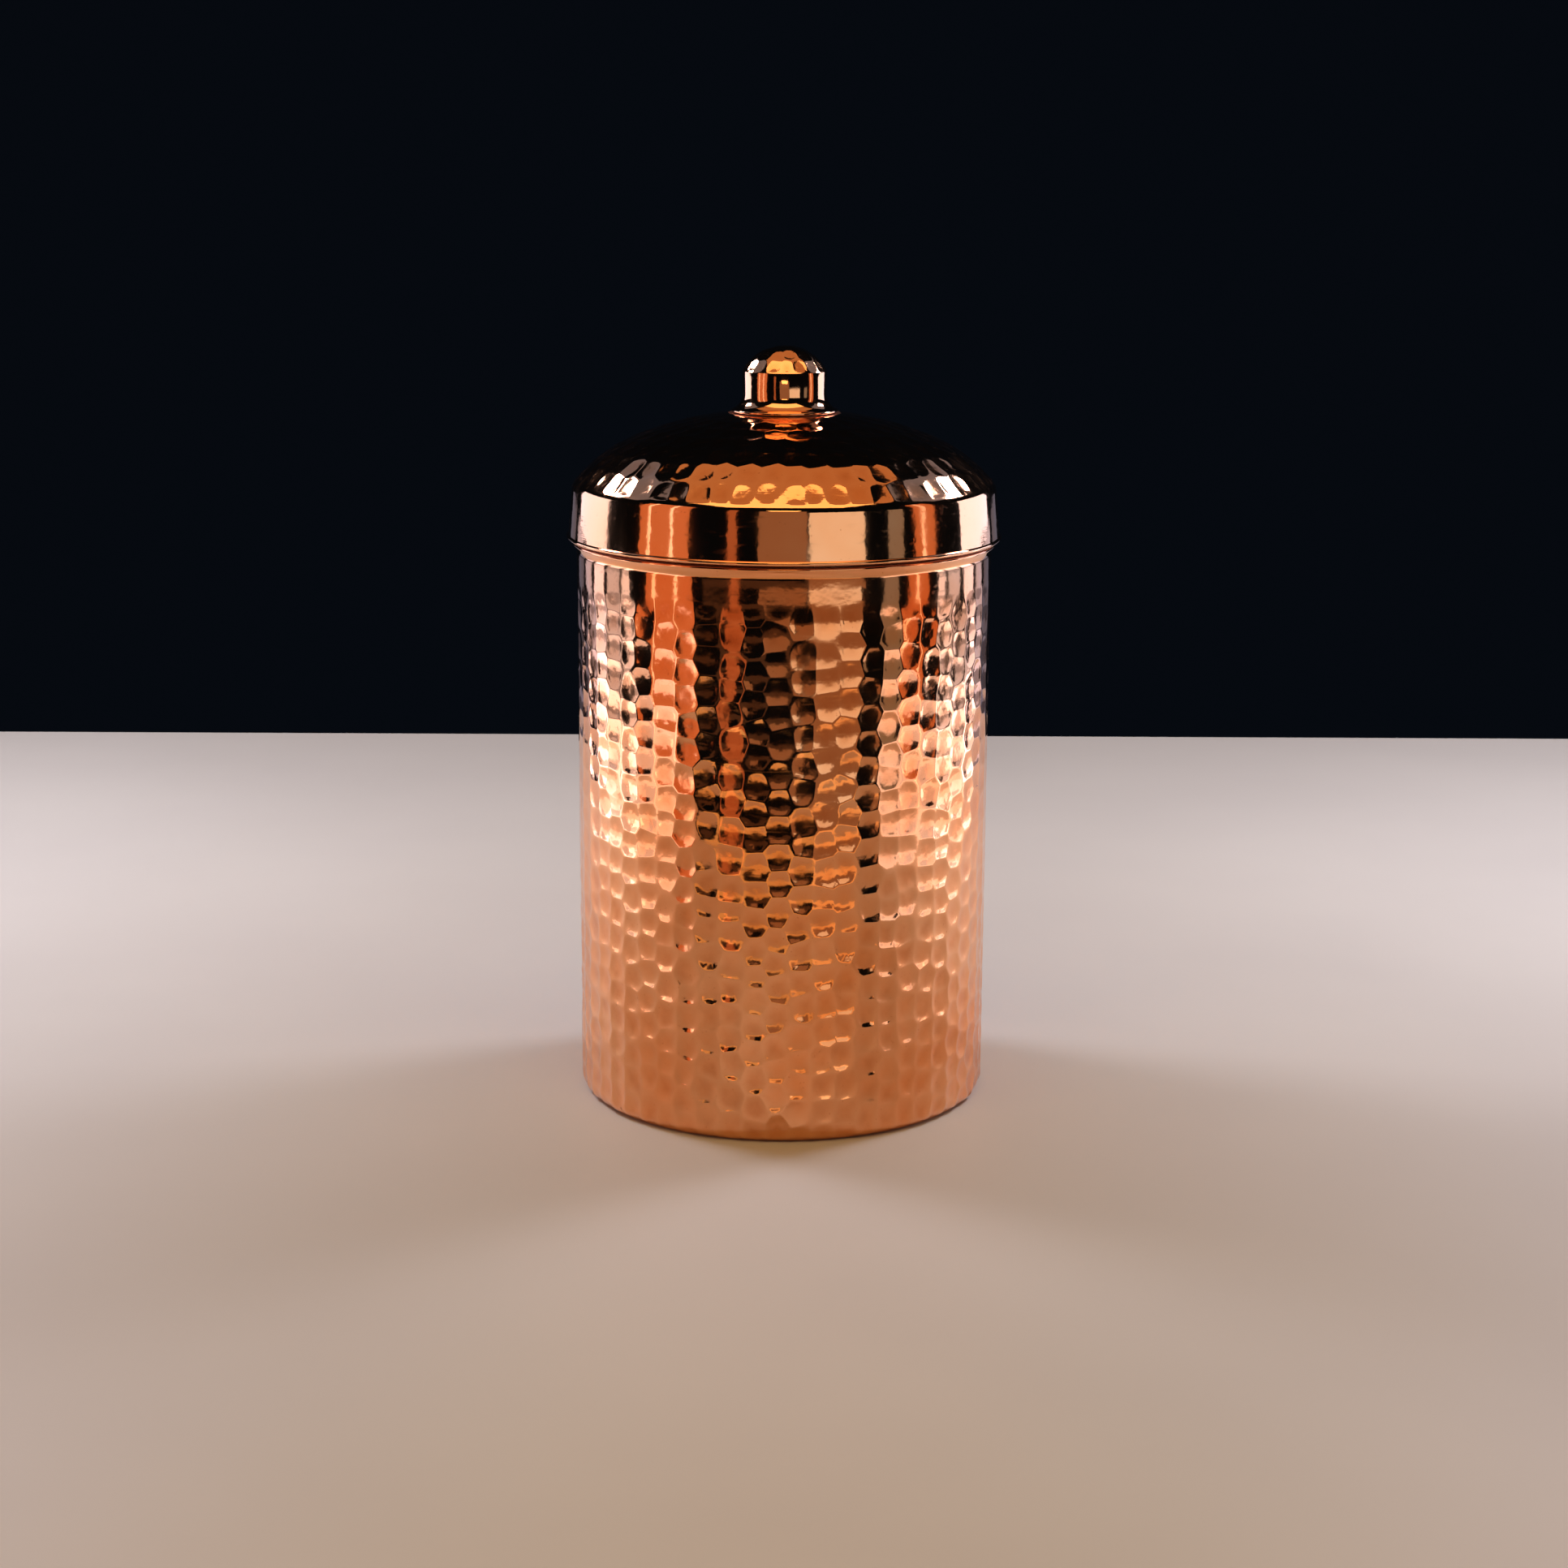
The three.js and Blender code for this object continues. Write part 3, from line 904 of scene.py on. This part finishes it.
def knob():
    """A hollow knob of sheet: a hammered cap, a plain upright side and a cove that ends in a foot."""
    foot = knob_low.z
    tilt = math.acos((KNOB_RADIUS + KNOB_COVE_RADIUS - KNOB_FOOT_RADIUS) / KNOB_COVE_RADIUS)
    cove_rise = KNOB_FOOT_EDGE + KNOB_COVE_RADIUS * math.sin(tilt)
    cove = np.array([KNOB_RADIUS + KNOB_COVE_RADIUS, foot + cove_rise])
    rise = KNOB_HEIGHT - KNOB_SHOULDER_HEIGHT
    top_radius = (KNOB_RADIUS**2 + rise**2) / (2 * rise)
    top = np.array([0, foot + KNOB_HEIGHT])
    shoulder = np.array([KNOB_RADIUS, foot + KNOB_SHOULDER_HEIGHT])
    cap = bulge(top, shoulder, top_radius, 24)
    rounding = rounded_corner(cap[-2], shoulder, cove, KNOB_SHOULDER_RADIUS, 6)
    cap = cap[cap[:, 0] < rounding[0, 0] - 0.2 * MM]
    side = arc(cove, KNOB_COVE_RADIUS, 180 + math.degrees(tilt), 180, 10)
    outside = Meridian(np.vstack([side, rounding[::-1], cap[::-1]]))
    plain = len(side) + 2  # points of the outside below the hammered cap
    edge = outside.length - outside.distances[plain]

    place = disc_place(outside, edge, lambda away: faded(edge - away, EDGE_FADE))
    shape = bmesh.new()
    blows = ring_blows(random.Random(5), KNOB_RING_SPACING / 2, edge, KNOB_RING_SPACING,
                       KNOB_MARK_WIDTH, wander=0.05, centre_mark=True)
    (rim,) = hammered_patch(shape, blows, place, KNOB_HAMMERING)

    foot_rim = softened([[KNOB_FOOT_RADIUS - 1.5 * MM, foot], [KNOB_FOOT_RADIUS, foot],
                         side[0], side[1]], 0.2 * MM, 3)[1:-1]
    first = turned_loop(shape, *foot_rim[0], KNOB_TURNS)
    to_rim = np.vstack([foot_rim[1:], outside.points[1:plain]])
    turned_skin(shape, to_rim, KNOB_TURNS, start=first, end=rim)

    inner_cove = KNOB_COVE_RADIUS + SHEET
    inner_sweep = math.degrees(math.asin(cove_rise / inner_cove))
    inside = np.vstack([
        bulge(top - [0, SHEET], shoulder - [SHEET, 0], top_radius - SHEET, 10),
        arc(cove, inner_cove, 180, 180 + inner_sweep, 6),
    ])
    turned_skin(shape, inside, KNOB_TURNS, end=first, skin=1)
    return finished(
        "knob_hammered", shape, [knob_copper, inner_copper], "lid", "knob_shell"
    )


def knob_core():
    """A plug in the knob, with the blind hole for the screw."""
    hole, ceiling = SCREW_RADIUS + GAP, core_low.z + SCREW_REACH + 2 * GAP
    outline = [
        [0, ceiling], [hole, ceiling], [hole, core_low.z], [core_high.x, core_low.z],
        [core_high.x, core_high.z], [0, core_high.z],
    ]
    return turned_piece("knob_core_turned", softened(outline, 0.5 * MM, 3), KNOB_TURNS,
                        [brass], "lid", "knob_core")


def flat_ring(name, low, high, material, node):
    """A washer round the screw."""
    hole = SCREW_RADIUS + GAP
    outline = [[hole, low.z], [high.x, low.z], [high.x, high.z], [hole, high.z]]
    return turned_piece(name, softened(outline, 0.25 * MM, 3, closed=True), KNOB_TURNS,
                        [material], "lid", node)


def thread_loop(shape, height, thread_foot):
    """A loop of vertices round the screw. The thread is a helix, and starts smoothly at its foot."""
    deepest = SCREW_THREAD_DEPTH * faded(height - thread_foot, SCREW_PITCH)
    loop = []
    for step in range(SCREW_TURNS):
        share = step / SCREW_TURNS
        phase = (height - thread_foot) / SCREW_PITCH - share
        radius = SCREW_RADIUS - deepest * (0.5 + 0.5 * math.cos(2 * math.pi * phase))
        angle = 2 * math.pi * share
        spot = radius * math.cos(angle), radius * math.sin(angle), height
        loop.append(shape.verts.new(spot))
    return loop


def slotted(screw):
    """Cuts the driver's slot. It lies askew to the mesh, so that no edges coincide."""
    bpy.ops.mesh.primitive_cube_add(size=1, location=(0, 0, screw_low.z), rotation=(0, 0, 0.2))
    cutter = bpy.context.object
    cutter.scale = (3 * SCREW_HEAD_RADIUS, SCREW_SLOT_WIDTH, 2 * SCREW_SLOT_DEPTH)
    slot = screw.modifiers.new("slot", "BOOLEAN")
    slot.operation = "DIFFERENCE"
    slot.solver = "EXACT"
    slot.object = cutter
    bpy.context.view_layer.update()
    whole = screw.evaluated_get(bpy.context.evaluated_depsgraph_get())
    cut_mesh = bpy.data.meshes.new_from_object(whole)
    screw.modifiers.clear()
    screw.data = cut_mesh
    bpy.data.objects.remove(cutter)
    return screw


def knob_screw():
    """A pan-head screw with a cut thread and a slot across its head."""
    head_foot, head_top = screw_low.z, screw_low.z + SCREW_HEAD_HEIGHT
    thread_foot = head_top + 2 * SCREW_PITCH
    shape = bmesh.new()
    head = softened(
        [[0, head_foot], [SCREW_HEAD_RADIUS, head_foot], [SCREW_HEAD_RADIUS, head_top],
         [SCREW_RADIUS, head_top], [SCREW_RADIUS, thread_foot]],
        1.0 * MM, 5,
    )
    lower = turned_skin(shape, head, SCREW_TURNS)
    rows = math.ceil((screw_high.z - thread_foot) / SCREW_PITCH * 6)
    for height in np.linspace(thread_foot, screw_high.z - 0.1 * MM, rows)[1:]:
        upper = thread_loop(shape, height, thread_foot)
        join_loops(shape, lower, upper)
        lower = upper
    tip = [[SCREW_RADIUS - SCREW_THREAD_DEPTH - 0.1 * MM, screw_high.z], [0, screw_high.z]]
    turned_skin(shape, tip, SCREW_TURNS, start=lower)
    return slotted(finished(
        "knob_screw_turned", shape, [steel], "lid", "knob_screw", sharp=50
    ))


vessel()
lid()
lid_collar()
seal_ring()
knob()
knob_core()
flat_ring("knob_seal_washer_moulded", seal_washer_low, seal_washer_high, rubber,
          "knob_seal_washer")
flat_ring("knob_washer_turned", washer_low, washer_high, brass, "knob_washer")
knob_screw()


# ---- the stage -------------------------------------------------------

# Polished copper shows what is round it. The table is small and the room dark, and lights that the
# camera can't see stand round the vessel like the windows of a room and hang over it.

TABLE_BACK = 433 * MM
TABLE_FRONT = -270 * MM
TABLE_HALF_WIDTH = 370 * MM

CAMERA_AWAY = 680 * MM
CAMERA_HEIGHT = 225.8 * MM
CAMERA_ASIDE = -0.4 * MM
CAMERA_PITCH = -12.456  # degrees
CAMERA_ROLL = -0.27
CAMERA_FIELD = 31.0

WHITE = (1.0, 0.97, 0.94)
DAYLIGHT = (0.92, 0.91, 1.15)
COOL = (0.70, 0.80, 1.20)
WARM = (1.0, 0.58, 0.36)
GOLDEN = (1.0, 0.66, 0.30)
ORANGE = (1.0, 0.49, 0.21)
AMBER = (1.0, 0.36, 0.16)

CARD_AWAY = 1.15  # how far the upright lights stand from the axis
STREAK_AWAY = 1.13  # streaks of light stand just before a card
FAR_BELOW = -0.7  # heights over the table, in metres
JUST_BELOW = -0.05
FAR_ABOVE = 0.8
CEILING = 1.15

DOWN = Vector((0, 0, -1))
INWARD = Vector((0, 1, 0))  # from the camera's side


def pale_floor():
    """A plain pale table top, which the vessel stands on."""
    finish = Finish("pale_floor")
    clouds = finish.between(finish.noise(7, 3.0), 0.3, 0.7)
    finish.set(
        Base_Color=finish.mix(clouds, (0.60, 0.57, 0.47, 1), (0.56, 0.53, 0.44, 1)),
        Roughness=0.55,
    )
    corners = [
        (-TABLE_HALF_WIDTH, TABLE_FRONT, 0), (TABLE_HALF_WIDTH, TABLE_FRONT, 0),
        (TABLE_HALF_WIDTH, TABLE_BACK, 0), (-TABLE_HALF_WIDTH, TABLE_BACK, 0),
    ]
    mesh = bpy.data.meshes.new("studio_floor")
    mesh.from_pydata(corners, [], [(0, 1, 2, 3)])
    mesh.materials.append(finish.material)
    floor = new_object("studio_floor", mesh)


def card(name, start, end, low, high, brightness, colour, away=CARD_AWAY):
    """An upright soft light that faces the vessel and covers a range of azimuths, in degrees from
    the camera's side round by the right, and a range of heights."""
    width = 2 * away * math.tan(math.radians(end - start) / 2)
    angle = math.radians((start + end) / 2)
    place = Vector((away * math.sin(angle), -away * math.cos(angle), (low + high) / 2))
    panel(name, place, Vector((-place.x, -place.y, 0)), width, high - low, brightness, colour)


def panel(name, place, towards, width, height, brightness, colour):
    """A soft light that the camera can't see. Brightness is in watts to the square metre and
    steradian."""
    data = bpy.data.lights.new(name, "AREA")
    data.shape = "RECTANGLE"
    data.size, data.size_y = width, height
    data.energy = brightness * math.pi * width * height
    data.color = colour
    light = new_object(name, data)
    light.location = place
    light.rotation_euler = towards.to_track_quat("-Z", "Y").to_euler()
    light.visible_camera = False


def dark_room():
    world = bpy.data.worlds.new("studio")
    world.use_nodes = True
    world.node_tree.nodes["Background"].inputs["Color"].default_value = (0.002, 0.003, 0.005, 1)
    bpy.context.scene.world = world


def side_lights(side, turn):
    """Cool bars of light beside and behind the vessel, a pool of light on the table behind it, and
    low lights. turn is -1 for the left side and 1 for the right."""
    bars = ((95, 6, 1.1), (106, 11, 0.7), (121, 11, 1.3), (135, 9, 0.6), (150, 12, 0.12))
    storeys = ((FAR_BELOW, -0.11, 2.6), (-0.11, -0.06, 0.7), (-0.06, 0.06, 1.5))
    for number, (middle, spread, brightness) in enumerate(bars):
        start, end = turn * middle - spread / 2, turn * middle + spread / 2
        for low, high, strength in storeys:
            name = f"{side}_bar_{number}_{low}"
            card(name, start, end, low, high, strength * brightness, COOL)
    card(f"{side}_high_bar", turn * 121 - 16, turn * 121 + 16, 0.06, 0.4, 2.2, COOL)
    panel(f"{side}_wash", Vector((turn * 0.34, 0.20, 0.40)), DOWN, 0.13, 0.13, 34, DAYLIGHT)
    panel(f"{side}_high", Vector((turn * 1.1, 0.7, CEILING)), DOWN, 0.8, 1.0, 0.25, COOL)
    edge_place = Vector((turn * 0.32, -0.02, 0.02))
    panel(f"{side}_edge", edge_place, Vector((-turn, 0, 0)), 0.44, 0.05, 1.0, DAYLIGHT)


def front_lights():
    """The upright lights on the camera's side, from left to right, which the wall and the band of
    the lid mirror as bars."""
    card("left_amber", -80, -50, FAR_BELOW, FAR_ABOVE, 0.65, AMBER)
    for number, start in enumerate((-75, -61)):
        card(f"left_streak_{number}", start, start + 2, FAR_BELOW, FAR_ABOVE, 1.1, WHITE, STREAK_AWAY)
    card("left_slit", -29, -24, FAR_BELOW, 0.6, 0.4, AMBER)
    card("front_glow", -13, 12, JUST_BELOW, 0.5, 0.28, WARM)
    card("front_window", 13, 42, JUST_BELOW, 0.3, 0.9, WHITE)
    card("front_dim", -44, 12, -0.12, JUST_BELOW, 0.06, WARM)
    card("right_warm", 13, 44, FAR_BELOW, JUST_BELOW, 0.27, WARM)
    card("right_grey", 55, 64, FAR_BELOW, 0.3, 0.25, WHITE)
    card("right_amber", 71, 85, FAR_BELOW, FAR_ABOVE, 0.6, AMBER)
    card("right_streak", 76, 78, FAR_BELOW, FAR_ABOVE, 1.1, WHITE, STREAK_AWAY)


def front_and_ceiling_panels():
    """A strip past the table's front edge, a spot on the table, and the ceiling that the dome
    mirrors."""
    panel("front_edge", Vector((0, -0.29, -0.006)), INWARD, 0.5, 0.03, 0.7, GOLDEN)
    panel("front_wash", Vector((0, -0.30, 0.25)), DOWN, 0.08, 0.08, 3, GOLDEN)
    panel("ceiling_front", Vector((0, -0.55, CEILING)), DOWN, 1.3, 0.7, 1.9, GOLDEN)
    panel("ceiling_back", Vector((0, 0.10, CEILING)), DOWN, 1.2, 0.6, 0.5, ORANGE)


def camera():
    """The camera, at the height and the distance from which the vessel is seen."""
    data = bpy.data.cameras.new("camera")
    data.sensor_width = 36
    data.lens = data.sensor_width / 2 / math.tan(math.radians(CAMERA_FIELD / 2))
    view = new_object("camera", data)
    view.location = (CAMERA_ASIDE, -CAMERA_AWAY, CAMERA_HEIGHT)
    view.rotation_euler = Euler((math.radians(90 + CAMERA_PITCH), math.radians(CAMERA_ROLL), 0))
    bpy.context.scene.camera = view


pale_floor()
dark_room()
side_lights("left", -1)
side_lights("right", 1)
front_lights()
front_and_ceiling_panels()
camera()
bpy.context.scene.view_settings.view_transform = "Standard"
